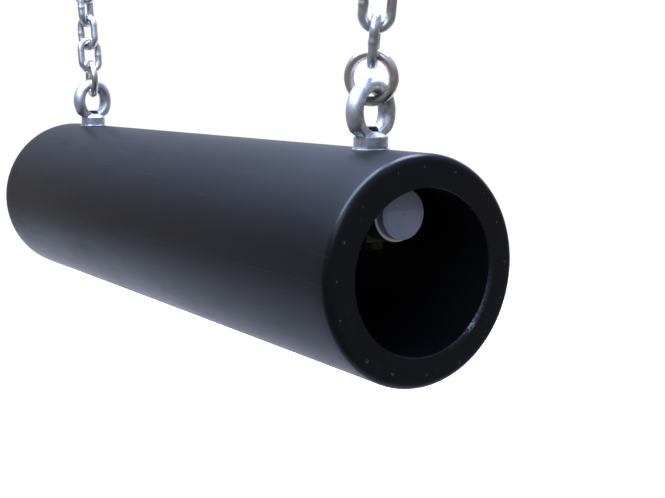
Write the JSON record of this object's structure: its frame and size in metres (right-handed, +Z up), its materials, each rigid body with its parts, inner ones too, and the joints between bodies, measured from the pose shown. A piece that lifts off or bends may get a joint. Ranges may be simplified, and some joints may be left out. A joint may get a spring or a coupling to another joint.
{
  "type": "tube swing",
  "caption": "Thick-walled black plastic tube seat hung level from two short welded chains, with eye nuts on top, rings, and bolt-on beam hangers that let it swing.",
  "frame": {"origin": "midpoint of the fore-and-aft swing axis, level with both hanger pivot bolts", "axes": "+X along the tube towards its right end, +Y to the back, +Z up"},
  "size_m": [0.7392, 0.18, 0.4898],
  "materials": {
    "black_plastic": "satin, finely scratched",
    "pipe_steel": "dull galvanised",
    "plug_plastic": "grey, moulded",
    "plated_forging": "bright zinc plate over a forged surface",
    "chain_steel": "bright zinc plate",
    "tinted_steel": "welded, brown heat tint",
    "bolt_steel": "zinc plated",
    "dark_bolt": "black oxide with light rust",
    "plated_steel": "zinc plated plate",
    "bushing_nylon": "natural nylon"
  },
  "bodies": {
    "hangers": {"hanger_left": "plated_steel", "pivot_bolt_left": "bolt_steel", "pivot_nut_left": "bolt_steel", "hanger_right": "plated_steel", "pivot_bolt_right": "bolt_steel", "pivot_nut_right": "bolt_steel"},
    "arm_left": {"swing_arm_left": "plated_forging", "bushing_inner_left": "bushing_nylon", "bushing_outer_left": "bushing_nylon"},
    "arm_right": {"swing_arm_right": "plated_forging", "bushing_inner_right": "bushing_nylon", "bushing_outer_right": "bushing_nylon"},
    "chain_left": {"link_1_left": "chain_steel", "link_2_left": "chain_steel", "link_3_left": "chain_steel", "link_4_left": "chain_steel", "link_5_left": "chain_steel"},
    "chain_right": {"link_1_right": "chain_steel", "link_2_right": "chain_steel", "link_3_right": "chain_steel", "link_4_right": "chain_steel", "link_5_right": "chain_steel"},
    "ring_left": {"ring_left": "tinted_steel"},
    "ring_right": {"ring_right": "tinted_steel"},
    "tube_seat": {"tube": "black_plastic", "support_pipe": "pipe_steel", "pipe_plug_left": "plug_plastic", "saddle_left": "plated_steel", "through_bolt_left": "dark_bolt", "washer_left": "bolt_steel", "eye_nut_left": "plated_forging", "pipe_plug_right": "plug_plastic", "saddle_right": "plated_steel", "through_bolt_right": "dark_bolt", "washer_right": "bolt_steel", "eye_nut_right": "plated_forging"}
  },
  "joints": [
    {"name": "fore_aft_left", "type": "hinge", "parent": "hangers", "child": "arm_left", "pos_m": [-0.30457, 0, 0], "axis": [1, 0, 0], "range_deg": [-50, 50]},
    {"name": "fore_aft_right", "type": "hinge", "parent": "hangers", "child": "arm_right", "pos_m": [0.30457, 0, 0], "axis": [1, 0, 0], "range_deg": [-50, 50]},
    {"name": "sway_left", "type": "hinge", "parent": "arm_left", "child": "chain_left", "pos_m": [-0.30457, 0, -0.07], "axis": [0, 1, 0], "range_deg": [-12, 12]},
    {"name": "sway_right", "type": "hinge", "parent": "arm_right", "child": "chain_right", "pos_m": [0.30457, 0, -0.07], "axis": [0, 1, 0], "range_deg": [-12, 12]},
    {"name": "ring_turn_left", "type": "hinge", "parent": "chain_left", "child": "ring_left", "pos_m": [-0.28539, 0, -0.20646], "axis": [0, 1, 0], "range_deg": [-13.5, 13.5]},
    {"name": "ring_turn_right", "type": "hinge", "parent": "chain_right", "child": "ring_right", "pos_m": [0.28598, 0, -0.20225], "axis": [0, 1, 0], "range_deg": [-13.5, 13.5]},
    {"name": "tube_roll", "type": "hinge", "parent": "ring_left", "child": "tube_seat", "pos_m": [-0.284, 0, -0.23486], "axis": [1, 0, 0], "range_deg": [-16, 16]}
  ],
  "couplings": [
    {"joint": "fore_aft_right", "follows": "fore_aft_left", "ratio": 1},
    {"joint": "sway_right", "follows": "sway_left", "ratio": 1},
    {"joint": "ring_turn_left", "follows": "sway_left", "ratio": -1.0672},
    {"joint": "ring_turn_right", "follows": "sway_left", "ratio": -0.92}
  ]
}
